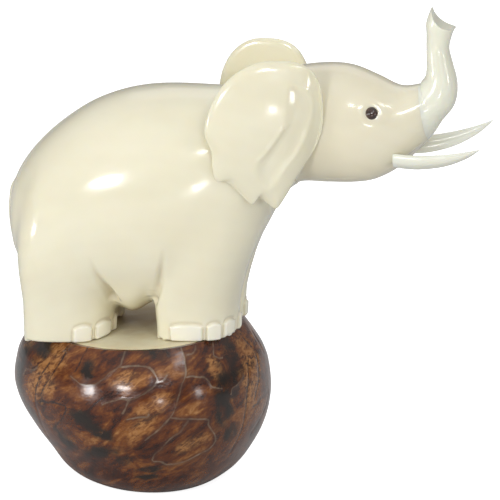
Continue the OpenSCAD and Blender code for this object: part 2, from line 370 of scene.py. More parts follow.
# Polished cream nut. Marks on the mesh say where a nail is whiter, and where painted shade darkens
# creases, gaps and the underside of the belly.
def makeIvory(name, tone, hasMarks=False):
    material, tree, shader, place = newMaterial(name)
    growth = addGroup(tree, growthLayers, {"Vector": place, "Spacing": 110.0, "Waver": 3.0,
                                           "Cloud Scale": 70.0})
    polish = addGroup(tree, handPolish, {"Vector": place})
    cloud = addRange(tree, growth["Cloud"], 0.35, 0.68)
    colour = addMix(tree, cloud, tone["light"], tone["deep"])
    layers = addRange(tree, growth["Layers"], 0.0, 1.0, 0.0, 0.05)
    colour = addMix(tree, layers, colour, tuple(0.9 * c for c in tone["deep"]))
    specks = addNode(tree, "ShaderNodeTexVoronoi", {"Vector": place, "Scale": 420.0}).outputs["Distance"]
    colour = addMix(tree, addRange(tree, specks, 0.05, 0.01, 0.0, 0.10), colour, (0.62, 0.48, 0.28))
    if hasMarks:
        nail = addNode(tree, "ShaderNodeAttribute", attribute_name="nail").outputs["Fac"]
        paintedShade = addNode(tree, "ShaderNodeAttribute", attribute_name="paintedShade").outputs["Fac"]
        colour = addMix(tree, addMath(tree, "MULTIPLY", nail, 0.65), colour, (0.95, 0.92, 0.80))
        # Painted shade: this mark turns the colour brown in grooves, nail gaps and under the belly.
        colour = addMix(tree, addMath(tree, "MULTIPLY", paintedShade, 0.55), colour, (0.50, 0.37, 0.20))
    tree.links.new(colour, shader.inputs["Base Color"])
    rough = addRange(tree, polish["Dull"], 0.35, 0.7, tone["rough"], tone["rough"] + 0.04)
    tree.links.new(rough, shader.inputs["Roughness"])
    height = addNode(tree, "ShaderNodeBump", {"Height": polish["Height"], "Strength": 0.05,
                                              "Distance": 0.0001})
    tree.links.new(height.outputs["Normal"], shader.inputs["Normal"])
    shader.inputs["Subsurface Weight"].default_value = tone["glow"]
    shader.inputs["Subsurface Radius"].default_value = (1.0, 0.8, 0.45)
    shader.inputs["Subsurface Scale"].default_value = 0.0018
    shader.inputs["IOR"].default_value = 1.54
    shader.inputs["Coat Weight"].default_value = 0.5
    shader.inputs["Coat Roughness"].default_value = 0.10
    return material


ivory = {part: makeIvory("ivory" + part.capitalize(), tone, part == "body")
         for part, tone in ivoryTones.items()}

# The sawn face that the elephant stands on
nut = {
    "faceHeight": 26.4,
    "faceLean": math.tan(math.radians(2.5)),
    "skinThickness": 0.7,
    "threeSided": 0.05,
    "corner": math.radians(-77),
    "profile": [  # height, middle in X, half width in X, half width in Y
        (0.0, 0.0, 10.4, 10.0), (0.7, 0.0, 12.4, 11.9), (2.6, 0.2, 14.8, 14.1), (5.5, 0.3, 16.9, 16.0),
        (9.0, 0.0, 19.1, 18.0), (13.0, -0.6, 20.7, 19.4), (17.0, -1.2, 21.2, 19.9),
        (20.5, -1.5, 20.6, 19.4), (23.5, -1.9, 19.3, 18.1), (26.4, -1.8, 17.2, 16.1),
    ],
}


def faceHeight(x):
    return nut["faceHeight"] + nut["faceLean"] * x


def nutRing(station, inset, segments):
    turn = 2 * math.pi * np.arange(segments) / segments
    grow = 1 + nut["threeSided"] * np.cos(3 * (turn - nut["corner"]))
    x = station[1] + (station[2] - inset) * grow * np.cos(turn)
    y = (station[3] - inset) * grow * np.sin(turn)
    return np.column_stack([x, y, faceHeight(x) * station[0] / nut["profile"][-1][0]])


# Veins and cracks that show on the nut: angle round it from the right side, and height
nutVeins = [
    [(-3, 26.5), (-4, 25), (-5, 24), (-11, 22.5), (-17, 21), (-23, 20.5), (-29, 21), (-32, 21.5)],
    [(-5, 24), (1, 24.2), (7, 24.3), (11, 24), (13.5, 23.2), (14, 22), (12, 21), (8, 20.2), (3, 19.3),
     (1, 18.8), (-2, 16.7)],
    [(14, 21.7), (17, 22), (19, 22.8)],
    [(1, 19), (-4, 19.1), (-9, 18.4), (-12, 17.9)],
    [(0, 15.6), (5, 16), (9, 16.2), (10, 16.7)],
    [(30, 26.5), (30, 24.5), (29, 22.8), (26, 21.4), (24, 19.3), (22, 17.7), (20, 16), (15, 14), (8, 12)],
    [(20, 16), (25, 15.6), (31, 15.3), (39, 14.8), (39.5, 13.8), (43, 12), (45, 10.5)],
    [(28, 15.1), (25, 13.4), (20, 12), (16, 10.3), (13, 9), (12, 8), (16, 7.6), (20, 7), (27, 7.3),
     (34, 8.2), (40, 9.1), (44, 10.1), (45, 11)],
    [(29, 22.3), (35, 22.2), (40, 21.5), (42, 20.1), (48, 19.6)],
    [(32, 25.4), (36, 25.4), (39, 26.5)],
    [(53, 26.5), (50, 25.1), (50, 24.2), (55, 23.9)],
    [(66, 20.3), (62, 19.4), (56, 18.9), (54, 17.9)],
]
nutCracks = [
    [(-45, 26.5), (-41, 24), (-45, 21), (-54, 16.5)],
    [(-55, 15.4), (-42, 16.2), (-34, 16), (-39, 13.3), (-52, 10.3)],
    [(-27, 26), (-30, 22.2)],
    [(74, 21.5), (69, 18.4), (66, 15.2), (64, 11.3), (60, 7)],
]
# Patches: angle, height, half angle, half height, tilt in mm of height per degree
nutLight = [(-51, 22, 12, 4.5, 0.1), (-57, 18, 7, 3, 0.1), (1, 22, 9, 1.3, 0.05), (11, 18, 8, 1.5, 0.15),
            (6, 14.2, 7, 2.0, 0.2), (32, 10.8, 8, 1.3, 0.12), (47, 22.5, 5, 2, -0.1), (77, 18, 5, 2, 0)]
nutDark = [(-25, 14.8, 8, 1.2, -0.05), (-15, 12.7, 9, 1.3, -0.1), (-16, 8.8, 12, 1.2, 0.08),
           (-2, 7.6, 6, 1.0, 0.03), (8, 6.0, 9, 0.7, 0.03), (9, 4.4, 8, 0.6, 0.0),
           (49, 15.8, 6, 3.2, 0.1), (63, 23.7, 7, 2.6, 0.0), (-42, 9.6, 6, 2.0, -0.1),
           (-22, 23, 5, 1.5, 0.0), (55, 11.2, 5, 1.6, 0.0), (15, 26, 9, 0.8, 0.0),
           (-76, 20.6, 8, 3, 0.0)]


# The same pattern goes three times round the nut, each time a little shifted and shaken.
def roundTheNut(shapes, lines):
    made = []
    for turn, lift in ((0, 0.0), (128, -1.2), (236, 0.8)):
        for shape in shapes:
            if lines:
                made.append([(angle + turn, height + lift) for angle, height in shape])
            else:
                made.append((shape[0] + turn, shape[1] + lift) + shape[2:])
    return made


nutMiddle = (-1.0, 0.0)
nutMeanRadius = 20.0


def unroll(places):
    angle = np.degrees(np.arctan2(places[:, 0] - nutMiddle[0], -places[:, 1]))
    return angle, places[:, 2]


def onSheet(angle, height):
    return np.column_stack([np.radians(angle) * nutMeanRadius, height])


# The outer face of the skin, not its inner one
def facesOut(places, normal):
    return normal[:, 0] * (places[:, 0] - nutMiddle[0]) + normal[:, 1] * places[:, 1] > 0


def nearestLine(angle, height, lines):
    best = np.full(len(angle), 9.0)
    for line in lines:
        line = np.array(line)
        middle = line[:, 0].mean()
        wrapped = (angle - middle + 180) % 360 - 180
        close = np.abs(wrapped) < 60
        steps = smoothRows(onSheet(line[:, 0] - middle, line[:, 1]), 4)
        gap, _ = lineDistance(onSheet(wrapped[close], height[close]), steps)
        best[close] = np.minimum(best[close], gap)
    return best


def patchMask(angle, height, patches, waver):
    mask = np.zeros(len(angle))
    for middle, level, halfAngle, halfHeight, tilt in patches:
        a = (angle - middle + 180) % 360 - 180
        h = height - level - tilt * a
        reach = np.sqrt((a / halfAngle) ** 2 + (h / halfHeight) ** 2) + waver
        mask = np.maximum(mask, 1 - ease(reach, 0.55, 1.35))
    return mask


nutSkin = {
    "segments": 280,
    "rows": 9,
    "veinReach": 0.75,
    "veinRaise": 0.025,
    "crackDepth": 0.10,
    "unevenness": 0.07,
}


def makeNutSkin():
    stations = smoothRows(nut["profile"], nutSkin["rows"])
    inner = smoothRows(nut["profile"], 2)
    bm = bmesh.new()
    rings = [nutRing(s, 0, nutSkin["segments"]) for s in stations]
    rings += [nutRing(s, nut["skinThickness"], nutSkin["segments"]) for s in inner[::-1]]
    addLoft(bm, rings, "joined")
    bmesh.ops.recalc_face_normals(bm, faces=bm.faces)
    veins, cracks = roundTheNut(nutVeins, True), roundTheNut(nutCracks, True)
    for reach in (nutSkin["veinReach"], nutSkin["veinReach"] * 0.6):
        places, normal = readPlaces(bm), readNormals(bm)
        angle, height = unroll(places)
        near = (nearestLine(angle, height, veins) < reach) & facesOut(places, normal)
        bm.verts.index_update()
        edges = [e for e in bm.edges if near[e.verts[0].index] and near[e.verts[1].index]]
        bmesh.ops.subdivide_edges(bm, edges=edges, cuts=1, use_grid_fill=True)
    places, normal = readPlaces(bm), readNormals(bm)
    angle, height = unroll(places)
    wander = places + 0.25 * np.column_stack([lumps(places, 2.2, s) for s in (1, 2, 3)])
    wanderAngle, wanderHeight = unroll(wander)
    vein = nearestLine(wanderAngle, wanderHeight, veins)
    crack = nearestLine(wanderAngle, wanderHeight, cracks)
    waver = 0.55 * lumps(places, 3.5, 11) + 0.3 * lumps(places, 1.4, 12)
    light = patchMask(angle, height, roundTheNut(nutLight, False), waver)
    dark = patchMask(angle, height, roundTheNut(nutDark, False), waver)
    shift = nutSkin["unevenness"] * lumps(places, 9, 4) + 0.02 * lumps(places, 2.5, 5)
    shift += nutSkin["veinRaise"] * (1 - ease(vein, 0.1, 0.45))
    shift -= nutSkin["crackDepth"] * (1 - ease(crack, 0.0, 0.4))
    toFace = faceHeight(places[:, 0]) - places[:, 2]
    fade = ease(places[:, 2], 0.2, 2.0) * ease(toFace, 0.0, 0.6) * facesOut(places, normal)
    writePlaces(bm, places + normal * (shift * fade)[:, None])
    return finishPiece(bm, "nutSkin", nutSkinMaterial(), "nut_skin", sharp=50,
                       marks={"vein": vein, "crack": crack, "light": light, "dark": dark}, recalc=False)


def nutSkinMaterial():
    material, tree, shader, place = newMaterial("nutSkinBrown")
    mark = {key: addNode(tree, "ShaderNodeAttribute", attribute_name=key).outputs["Fac"]
            for key in ("vein", "crack", "light", "dark")}
    streaked = addNode(tree, "ShaderNodeMapping", {"Vector": place, "Rotation": (0.0, -0.6, 0.0),
                                                   "Scale": (1.4, 1.0, 0.5)},
                       vector_type="TEXTURE").outputs[0]
    mottle = addNode(tree, "ShaderNodeTexNoise", {"Vector": streaked, "Scale": 150.0, "Detail": 6.0,
                                                  "Roughness": 0.62, "Distortion": 1.2}).outputs["Fac"]
    fibres = addNode(tree, "ShaderNodeTexNoise", {"Vector": streaked, "Scale": 900.0, "Detail": 5.0,
                                                  "Roughness": 0.65, "Distortion": 0.6}).outputs["Fac"]
    blend = addMath(tree, "MULTIPLY_ADD", fibres, 0.36)
    tree.links.new(mottle, blend.node.inputs[2])
    brown = addRamp(tree, blend, [(0.46, (0.008, 0.002, 0.001)), (0.58, (0.045, 0.008, 0.001)),
                                  (0.69, (0.110, 0.025, 0.002)), (0.80, (0.210, 0.068, 0.010)),
                                  (0.94, (0.420, 0.200, 0.065))])
    goldShare = addMath(tree, "MULTIPLY", mark["light"], addRange(tree, fibres, 0.40, 0.62, 0.15, 1.0))
    colour = addMix(tree, goldShare, brown, (0.38, 0.170, 0.050))
    spots = addNode(tree, "ShaderNodeTexNoise", {"Vector": place, "Scale": 300.0, "Detail": 4.0,
                                                 "Roughness": 0.6}).outputs["Fac"]
    darkShare = addMath(tree, "MULTIPLY", mark["dark"], addRange(tree, spots, 0.34, 0.50, 0.55, 1.0))
    colour = addMix(tree, darkShare, colour, (0.014, 0.008, 0.005))
    greenish = addRange(tree, spots, 0.60, 0.72, 0.0, 0.5)
    greenish = addMath(tree, "MULTIPLY", greenish, mark["dark"])
    colour = addMix(tree, greenish, colour, (0.060, 0.050, 0.022))
    crackShare = addRange(tree, mark["crack"], 0.32, 0.06, 0.0, 0.85)
    colour = addMix(tree, crackShare, colour, (0.018, 0.006, 0.005))
    edgeNoise = addRange(tree, fibres, 0.3, 0.7, -0.07, 0.07)
    veinGap = addMath(tree, "ADD", mark["vein"], edgeNoise)
    halo = addRange(tree, veinGap, 0.85, 0.22, 0.0, 0.45)
    colour = addMix(tree, halo, colour, (0.052, 0.019, 0.012))
    veinTone = addRamp(tree, mottle, [(0.35, (0.10, 0.060, 0.035)), (0.62, (0.24, 0.165, 0.110))])
    veinShare = addMath(tree, "MULTIPLY", addRange(tree, veinGap, 0.20, 0.07, 0.0, 0.85),
                        addRange(tree, spots, 0.38, 0.56, 0.35, 1.0))
    colour = addMix(tree, veinShare, colour, veinTone)
    tree.links.new(colour, shader.inputs["Base Color"])
    polish = addGroup(tree, handPolish, {"Vector": place, "Scratch Scale": 1900.0, "Dull Scale": 330.0})
    rough = addRange(tree, polish["Dull"], 0.35, 0.7, 0.20, 0.28)
    tree.links.new(rough, shader.inputs["Roughness"])
    relief = addMath(tree, "MULTIPLY_ADD", fibres, 0.6)
    tree.links.new(polish["Height"], relief.node.inputs[2])
    height = addNode(tree, "ShaderNodeBump", {"Height": relief, "Strength": 0.16, "Distance": 0.0003})
    tree.links.new(height.outputs["Normal"], shader.inputs["Normal"])
    shader.inputs["IOR"].default_value = 1.37
    shader.inputs["Coat Weight"].default_value = 0.55
    shader.inputs["Coat Roughness"].default_value = 0.14
    return material


kernel = {
    "segments": 120,
    "rows": 3,
    "lid": (0.97, 0.9, 0.8, 0.7, 0.6, 0.5, 0.4, 0.3, 0.2, 0.1, 0.03),
    "sawMiddle": (60, -25),  # middle of the arcs that the saw left
    "sawRate": 5.2,  # radians in each mm
    "sawDepth": 0.012,
    "paintedShadePlace": (-0.002, 0.005, 0.0264),  # middle of the painted shade under the belly, in metres
}


def makeKernel():
    stations = smoothRows(nut["profile"], kernel["rows"])
    bm = bmesh.new()
    rings = [nutRing(s, nut["skinThickness"], kernel["segments"]) for s in stations]
    rings += inwardRings(rings[-1], kernel["lid"])
    addLoft(bm, rings)
    bmesh.ops.recalc_face_normals(bm, faces=bm.faces)
    places = readPlaces(bm)
    drop = faceHeight(places[:, 0]) - places[:, 2]
    onFace = np.abs(drop) < 0.01
    sweep = np.hypot(places[:, 0] - kernel["sawMiddle"][0], places[:, 1] - kernel["sawMiddle"][1])
    saw = kernel["sawDepth"] * (np.sin(sweep * kernel["sawRate"]) - 1) * onFace
    places[:, 2] += saw
    writePlaces(bm, places)
    return finishPiece(bm, "nutKernel", kernelMaterial(), "nut_kernel")


def kernelMaterial():
    material, tree, shader, place = newMaterial("kernelSawn")
    growth = addGroup(tree, growthLayers, {"Vector": place, "Spacing": 190.0, "Waver": 5.0,
                                           "Cloud Scale": 150.0})
    polish = addGroup(tree, handPolish, {"Vector": place, "Scratch Scale": 2600.0})
    cloud = addRange(tree, growth["Cloud"], 0.35, 0.66)
    colour = addMix(tree, cloud, (0.84, 0.77, 0.56), (0.77, 0.67, 0.45))
    layers = addRange(tree, growth["Layers"], 0.2, 0.9, 0.0, 0.20)
    colour = addMix(tree, layers, colour, (0.56, 0.43, 0.25))
    # Painted shade: the sawn face turns brown round a spot under the belly, where shade falls.
    toBelly = addNode(tree, "ShaderNodeVectorMath", {0: place, 1: kernel["paintedShadePlace"]},
                      operation="DISTANCE")
    paintedBellyShade = addRange(tree, toBelly.outputs["Value"], 0.010, 0.003, 0.0, 0.75)
    colour = addMix(tree, paintedBellyShade, colour, (0.42, 0.28, 0.13))
    tree.links.new(colour, shader.inputs["Base Color"])
    tree.links.new(addRange(tree, polish["Dull"], 0.3, 0.7, 0.42, 0.62), shader.inputs["Roughness"])
    height = addNode(tree, "ShaderNodeBump", {"Height": polish["Height"], "Strength": 0.35,
                                              "Distance": 0.0003})
    tree.links.new(height.outputs["Normal"], shader.inputs["Normal"])
    shader.inputs["Subsurface Weight"].default_value = 0.12
    shader.inputs["Subsurface Scale"].default_value = 0.001
    return material


makeKernel()
makeNutSkin()

# The carving, from the rump to the tip of the trunk
carving = {
    "stations": [  # middle X, middle Z, lean of the ring, half height, half width
        (-23.6, 45.6, 0, 0.9, 1.1), (-22.9, 45.6, 0, 5.2, 6), (-21.2, 45.4, 0, 8.8, 9.2),
        (-18.4, 45.5, 0, 12.2, 12), (-15, 46.2, 0, 14.6, 13.9), (-10, 47.4, 0, 16.9, 15.2),
        (-4, 48.5, 0, 18.2, 15.6), (2, 49.1, 0, 18.6, 15.4), (8, 50, 0, 17.8, 14.4),
        (13, 51.5, 0, 16.3, 12.8), (18, 54.7, 0, 13.6, 10.8), (22, 59.3, 0, 10.7, 9.2),
        (25, 61.9, 0, 9.8, 8.3), (30, 62.4, 0, 10, 8.2), (34, 62.3, 0, 9.8, 8), (38, 61.9, 0, 8.7, 7.3),
        (42, 62.3, 2, 6.7, 6), (45.9, 64.8, 11, 4.7, 4.3), (47.1, 66.6, 28, 3.75, 3.8),
        (48.5, 68.6, 46, 3.4, 3.4), (48.8, 71, 66, 2.8, 2.9), (48.4, 73.6, 80, 2.2, 2.5),
        (48.1, 75.8, 88, 1.9, 2.2), (48.3, 78, 88, 2.1, 2.2), (48.6, 80, 87, 2.45, 2.3),
        (48.9, 82.4, 87, 2, 2.1),
    ],
    "neck": 12,
    "trunk": 17,
    "square": 2.15,
}
neckX = carving["stations"][carving["neck"]][0]
seam = carving["stations"][carving["trunk"]]
seamPlace = (seam[0], 0, seam[1])
seamNormal = (math.cos(math.radians(seam[2])), 0, math.sin(math.radians(seam[2])))


def carvingRing(station, segments):
    turn = 2 * math.pi * np.arange(segments) / segments
    lean = math.radians(station[2])
    up = station[3] * power(np.sin(turn), 2 / carving["square"])
    side = station[4] * power(np.cos(turn), 2 / carving["square"])
    return np.column_stack([station[0] - up * math.sin(lean), side, station[1] + up * math.cos(lean)])


def carvingRings(first, last, steps, segments):
    rows = smoothRows(carving["stations"], steps)
    return [carvingRing(s, segments) for s in rows[first * steps:last * steps + 1]]


legs = {
    "rear": [  # height, middle X, middle Y, half width in X, half width in Y, squareness
        (54, -11.4, 6.0, 6.8, 6.6, 2.2), (46, -12.0, 6.9, 8.2, 8.0, 2.2), (39, -12.4, 7.2, 8.1, 7.5, 2.3),
        (33, -12.6, 7.0, 7.1, 6.3, 2.6), (29, -12.7, 6.9, 6.9, 5.8, 2.8), (22, -12.7, 6.8, 6.7, 5.5, 2.8),
    ],
    "front": [
        (54, 10.2, 5.4, 7.6, 6.6, 2.2), (46, 10.9, 6.4, 8.6, 7.1, 2.2), (39, 9.8, 6.6, 7.2, 6.4, 2.4),
        (33, 8.9, 6.3, 6.4, 5.6, 2.8), (29, 8.9, 6.2, 6.2, 5.3, 3.0), (22, 8.9, 6.0, 6.0, 5.0, 3.0),
    ],
    "skew": 0.3,
    "ankle": 4,
    "rearNails": [(-24, 12), (15, 17), (55, 16)],  # direction round the foot and half span, in degrees
    "frontNails": [(-20, 12), (14, 14), (49, 15), (88, 18)],
    "nailTop": 3.1,
    "nailRelief": 0.38,
    "nailGap": 0.16,
}


def legRing(station, side, segments):
    turn = 2 * math.pi * np.arange(segments) / segments
    out = station[4] * power(np.sin(turn), 2 / station[5])
    x = station[1] + station[3] * power(np.cos(turn), 2 / station[5]) - legs["skew"] * out
    return np.column_stack([x, side * (station[2] + out), np.full(segments, station[0])])


# How far each place is inside the nails of one foot, and in the gaps between them
def nailMasks(places, stations, side, nails):
    foot = stations[legs["ankle"]]
    out = places[:, 1] * side - foot[2]
    ahead = places[:, 0] + legs["skew"] * out - foot[1]
    turn = np.degrees(np.arctan2(power(out / foot[4], foot[5] / 2), power(ahead / foot[3], foot[5] / 2)))
    height = places[:, 2] - faceHeight(places[:, 0])
    reach = np.hypot(out / foot[4], ahead / foot[3])
    here = (reach > 0.8) & (reach < 1.35) & (places[:, 1] * side > 0) & (height < 6)
    nail = np.zeros(len(places))
    gap = np.zeros(len(places))
    for middle, half in nails:
        across = np.abs(turn - middle)
        top = legs["nailTop"] - 0.5 * (across / half) ** 2
        plate = (1 - ease(across, half - 3.2, half)) * (1 - ease(height, top - 0.35, top))
        nail = np.maximum(nail, plate * here)
        edge = bump(across - half - 0.5, 3.0) * (1 - ease(height, top - 0.6, top))
        over = bump(height - top - 0.1, 0.5) * (1 - ease(across, half - 2, half + 1))
        gap = np.maximum(gap, np.maximum(edge, over) * here)
    return nail, gap


body = {
    "voxel": 0.72,
    "smoothing": [(0, 4), (35, 3), (38, 6), (41, 14)],  # above this height, this many rounds
    "belly": {"middle": -2.4, "half": 4.2, "drop": 2.6, "liftHalf": 7, "lift": 1.4},
    "tailLine": [(-22.4, 51.1), (-23.3, 46.6), (-22.9, 41.6), (-21.2, 36.6), (-19.6, 32.6), (-19, 30.1)],
    "tailHalf": 1.0,
    "tailRelief": 0.5,
    "tuftRelief": 0.08,
    "grooveDepth": 1.1,
    "grooves": [  # along the side: X, distance out in Y, Z
        [(-8.4, 14.6, 42), (-7.5, 13.7, 39.2), (-6.6, 12.7, 37.2), (-5.6, 11, 35), (-4.9, 8.9, 33.1)],
        [(4.3, 14.6, 43.5), (4, 13.8, 41.1), (3.5, 12.7, 38.5), (2.9, 10.9, 35.3), (2.5, 9.5, 33.4)],
    ],
}


def makeBody():
    bm = bmesh.new()
    addLoft(bm, carvingRings(0, carving["neck"] + 1, 3, 48))
    for side in (-1, 1):
        for stations in (legs["rear"], legs["front"]):
            addLoft(bm, [legRing(s, side, 40) for s in smoothRows(stations, 3)])
    bmesh.ops.recalc_face_normals(bm, faces=bm.faces)
    bm = throughModifiers(bm, ("REMESH", {"mode": "VOXEL", "voxel_size": body["voxel"]}))
    print("body joined:", len(bm.faces), "faces")
    for low, rounds in body["smoothing"]:
        smoothShape(bm, [v for v in bm.verts if v.co.z > low], rounds)
    places = readPlaces(bm)
    belly = body["belly"]
    away = places[:, 0] - belly["middle"]
    hang = belly["drop"] * bump(away, belly["half"]) - belly["lift"] * bump(away, belly["liftHalf"])
    places[:, 2] -= hang * ease(places[:, 2], 39, 32) * ease(np.abs(places[:, 1]), 14, 10)
    writePlaces(bm, places)
    trimAt(bm, (neckX, 0, 60), (1, 0, 0))
    trimAt(bm, (0, 0, nut["faceHeight"]), (nut["faceLean"], 0, -1))
    return throughModifiers(bm, ("SUBSURF", {"levels": 1, "render_levels": 1,
                                             "boundary_smooth": "PRESERVE_CORNERS"}))


def shapeBody(bm):
    low = [f for f in bm.faces if f.calc_center_median().z - faceHeight(f.calc_center_median().x) < 4.2]
    edges = list({e.index: e for f in low for e in f.edges}.values())
    bmesh.ops.subdivide_edges(bm, edges=edges, cuts=1, use_grid_fill=True)
    places, normal = readPlaces(bm), readNormals(bm)
    nail = np.zeros(len(places))
    gap = np.zeros(len(places))
    for side in (-1, 1):
        for stations, nails in ((legs["rear"], legs["rearNails"]), (legs["front"], legs["frontNails"])):
            one, other = nailMasks(places, stations, side, nails)
            nail, gap = np.maximum(nail, one), np.maximum(gap, other)
    gap *= 1 - nail
    flat = normal * np.array([1, 1, 0])
    flat /= np.maximum(np.linalg.norm(flat, axis=1), 0.3)[:, None]
    moved = places + flat * (legs["nailRelief"] * nail - legs["nailGap"] * gap)[:, None]
    mirrored = np.column_stack([places[:, 0], np.abs(places[:, 1]), places[:, 2]])
    # Painted shade: this mark darkens the nail gaps, and below it the grooves, the tail's edges, the feet
    # where they meet the nut and the hollow under the belly.
    paintedShade = 0.4 * gap
    for line in body["grooves"]:
        distance, along = lineDistance(mirrored, smoothRows(line, 4))
        width = 0.5 + 0.9 * along
        depth = body["grooveDepth"] * along ** 1.2 * (1 - ease(distance / width, 0, 1))
        moved -= normal * depth[:, None]
        paintedShade = np.maximum(paintedShade, 0.7 * along * (1 - ease(distance / width, 0, 1.1)))
    distance, along = lineDistance(places[:, [0, 2]], smoothRows(body["tailLine"], 4))
    half = body["tailHalf"] * (0.75 + 0.35 * along)
    onRump = (normal[:, 0] < 0) & (distance < 3) & (places[:, 0] < -14)
    profile = np.sqrt(np.clip(1 - (places[:, 1] / half) ** 2, 0, 1))
    ends = ease(along, 0.0, 0.12) * ease(along, 1.0, 0.95)
    tuft = body["tuftRelief"] * np.sin(places[:, 1] * 9) * ease(along, 0.72, 0.9)
    moved += normal * ((body["tailRelief"] * profile + tuft * (profile > 0)) * ends * onRump)[:, None]
    side = bump(np.abs(places[:, 1]) - half - 0.1, 0.4) * ends * onRump
    moved -= normal * (0.08 * side)[:, None]
    paintedShade = np.maximum(paintedShade, 0.3 * side)
    floorGap = places[:, 2] - faceHeight(places[:, 0])
    onSole = floorGap < 0.02
    moved[:, 2] = np.where(onSole, places[:, 2], moved[:, 2])
    writePlaces(bm, moved)
    # Painted shade where the feet meet the nut and under the belly, where shade falls.
    paintedShade = np.maximum(paintedShade, 0.5 * ease(floorGap, 0.25, 0.0))
    under = ease(places[:, 2], 34, 30) * ease(mirrored[:, 1], 8, 3) * bump(places[:, 0] + 1.5, 9)
    paintedShade = np.maximum(paintedShade, 1.4 * under)
    return {"nail": nail, "paintedShade": paintedShade}


bodyShape = makeBody()
bodyMarks = shapeBody(bodyShape)
finishPiece(bodyShape, "carvedBody", ivory["body"], "body",
            sharp=60, marks=bodyMarks, recalc=False)

head = {
    "steps": 10,
    "segments": 96,
    "eye": (37.9, 6.5, 66.0),
    "socketRim": 0.10,
    "socketDepth": 0.12,
    "mouth": [(46.3, 59.9), (44.4, 58.2), (42.6, 56.9), (40.8, 56.6)],
    "mouthDepth": 0.22,
}


def makeHead():
    bm = bmesh.new()
    addLoft(bm, carvingRings(carving["neck"], carving["trunk"], head["steps"], head["segments"]))
    bmesh.ops.recalc_face_normals(bm, faces=bm.faces)
    places, normal = readPlaces(bm), readNormals(bm)
    free = ease(places[:, 0], neckX + 0.2, neckX + 3)
    free *= ease((places - seamPlace) @ np.array(seamNormal), -0.2, -2.0)
    folded = np.column_stack([places[:, 0], np.abs(places[:, 1]), places[:, 2]])
    toEye = np.linalg.norm(folded - head["eye"], axis=1)
    shift = head["socketRim"] * bump(toEye - 2.0, 1.3) - head["socketDepth"] * bump(toEye, 1.5)
    distance, along = lineDistance(places[:, [0, 2]], smoothRows(head["mouth"], 4))
    shift -= head["mouthDepth"] * (1 - ease(distance, 0.1, 0.6)) * ease(along, 0.0, 0.2)
    writePlaces(bm, places + normal * (shift * free)[:, None])
    return finishPiece(bm, "carvedHead", ivory["head"], "head", sharp=50, levels=1)


makeHead()

trunk = {"steps": 10, "segments": 72, "lid": (0.97, 0.9, 0.8, 0.65, 0.5, 0.35, 0.2, 0.08),
         "hollow": (50.5, 82.7), "hollowRadius": 3.4}


def makeTrunk():
    bm = bmesh.new()
    last = len(carving["stations"]) - 1
    rings = carvingRings(carving["trunk"], last, trunk["steps"], trunk["segments"])
    rings += inwardRings(rings[-1], trunk["lid"])
    addLoft(bm, rings)
    bmesh.ops.recalc_face_normals(bm, faces=bm.faces)
    places = readPlaces(bm)
    toHollow = places[:, [0, 2]] - trunk["hollow"]
    inside = np.linalg.norm(toHollow, axis=1) < trunk["hollowRadius"]
    below = trunk["hollow"][1] - np.sqrt(np.maximum(trunk["hollowRadius"] ** 2 - toHollow[:, 0] ** 2, 0))
    places[:, 2] = np.where(inside, below, places[:, 2])
    writePlaces(bm, places)
    return finishPiece(bm, "carvedTrunk", ivory["trunk"], "trunk", sharp=50, levels=1)


makeTrunk()

ear = {
    "edge": [  # clockwise from the top, seen from the right: X and Z
        (22.2, 75.2), (25.4, 74.8), (28, 73.3), (29.4, 70.4), (29.8, 66), (29.5, 63), (28.5, 60.2),
        (26.9, 57.4), (25.2, 54.6), (23.6, 51.8), (22.2, 49.9), (20.8, 50.9), (19.4, 51.9), (18.3, 50.8),
        (16.4, 52.8), (14.4, 54.8), (12.6, 55.2), (12, 57.6), (11.9, 60.1), (10.9, 62.8), (11, 65.6),
        (12.4, 69.4), (14.4, 72.2), (16.9, 74.1), (19.6, 75.1),
    ],
    "hub": (23, 64.6),
    "thickness": 2.2,
    "out": 7.3,
    "flare": 0.34,
    "bendX": 28,
    "bendRadius": 3,
    "normal": (0.4, -0.9),
    "rings": [  # share of the way to the edge, share of the thickness
        (0.04, 0.0), (0.4, 0.0), (0.75, 0.0), (0.88, 0.02), (0.94, 0.05), (0.98, 0.13), (1.0, 0.27),
        (0.99, 0.42), (0.97, 0.56), (0.94, 0.69), (0.89, 0.84), (0.82, 0.99), (0.74, 1.13), (0.62, 1.3),
        (0.5, 1.44), (0.38, 1.55), (0.25, 1.63), (0.12, 1.68), (0.04, 1.69),
    ],
    "softReach": 12,  # how far the scallops of the edge are evened out further in
    "hollowDepth": 0.4,
    "lipRaise": 0.14,
    "foldRaise": 0.14,
    "frontDrop": 0.8,
    "hollow": [(24.2, 71.3), (25.7, 71.1), (27.1, 70), (27.7, 68.3), (27.7, 66.6), (27.1, 64.2),
               (26.2, 61.9), (25, 59.5), (23.5, 57.6), (22.5, 56.1), (21.1, 54.2), (19.6, 55.2),
               (19, 57.4), (20, 59.8), (21.6, 62), (23, 64.2), (24, 67)],
    "fold": [(18.6, 58.6), (20, 59.8), (21.6, 62), (23, 64.2), (24.4, 65.6)],
    "lip": [(23, 71), (24.2, 71.3), (25.7, 71.1), (27.1, 70), (27.7, 68.3), (27.7, 66.6), (27.1, 64.2),
            (26.2, 61.9), (25, 59.5), (23.5, 57.6), (22.5, 56.1), (21.1, 54.2)],
}
leftEar = {"narrow": 0.9, "turn": math.radians(10), "shift": (-3.5, -0.5)}


def earSide(x):
    back = ear["bendX"] - x
    return ear["out"] + ear["flare"] * (back + np.sqrt(back * back + ear["bendRadius"] ** 2)) / 2


def earRing(share, high):
    edge = smoothLoop(ear["edge"], 6)
    reach = ear["softReach"]
    soft = sum(np.roll(edge, k, axis=0) for k in range(-reach, reach + 1)) / (2 * reach + 1)
    edge = edge + ease(share, 1.0, 0.8) * (soft - edge)
    hub = np.array(ear["hub"])
    flat = hub + share * (edge - hub)
    lift = ear["thickness"] * high
    return np.column_stack([flat[:, 0] + ear["normal"][0] * lift,
                            -earSide(flat[:, 0]) + ear["normal"][1] * lift, flat[:, 1]])


